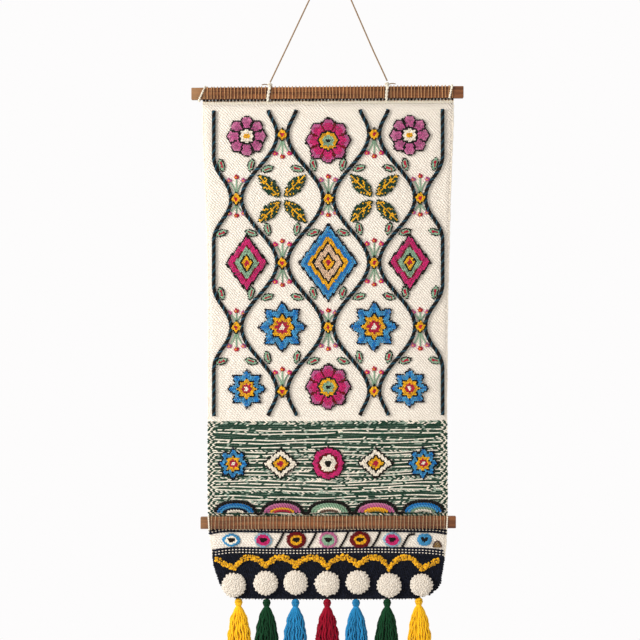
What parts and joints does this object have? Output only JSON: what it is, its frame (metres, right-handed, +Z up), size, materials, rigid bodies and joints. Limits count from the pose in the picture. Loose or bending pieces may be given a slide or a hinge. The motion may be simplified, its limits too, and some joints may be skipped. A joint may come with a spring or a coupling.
{
  "type": "tufted wall hanging on two wooden battens with its hanging twine",
  "caption": "Thick handwoven cloth on two wooden battens, with raised tufted motifs, stripes, a row of pompoms, yarn tassels and a twine to hang it by.",
  "frame": {"origin": "the middle of the nail that the twine goes over", "axes": "+Z up, +X to the viewer's right, the face of the hanging towards -Y and the wall towards +Y"},
  "size_m": [0.545, 0.0407, 1.4208],
  "materials": {
    "wood": "planed hardwood lath, wiped with oil",
    "cloth": "handwoven cream cotton, plain weave, with tufted wool pile",
    "cotton_thread": "two-ply undyed cotton thread",
    "cotton_cord": "thick soft undyed cotton cord",
    "twine": "brown jute twine",
    "cream_pile": "looped undyed wool pile",
    "mustard_yarn": "soft wool yarn, mustard yellow",
    "green_yarn": "soft wool yarn, bottle green",
    "blue_yarn": "soft wool yarn, sky blue",
    "crimson_yarn": "soft wool yarn, crimson"
  },
  "bodies": {
    "root": {"top_batten": "wood", "lower_batten": "wood", "cloth_panel": "cloth", "top_heading": "cotton_thread", "lower_lacing": "cotton_thread", "tie_left": "cotton_cord", "tie_right": "cotton_cord", "hanging_cord": "twine", "pompom_1": "cream_pile", "pompom_2": "cream_pile", "pompom_3": "cream_pile", "pompom_4": "cream_pile", "pompom_5": "cream_pile", "pompom_6": "cream_pile", "pompom_7": "cream_pile", "tassel_1": "mustard_yarn", "tassel_2": "green_yarn", "tassel_3": "blue_yarn", "tassel_4": "crimson_yarn", "tassel_5": "blue_yarn", "tassel_6": "green_yarn", "tassel_7": "mustard_yarn"}
  },
  "joints": []
}
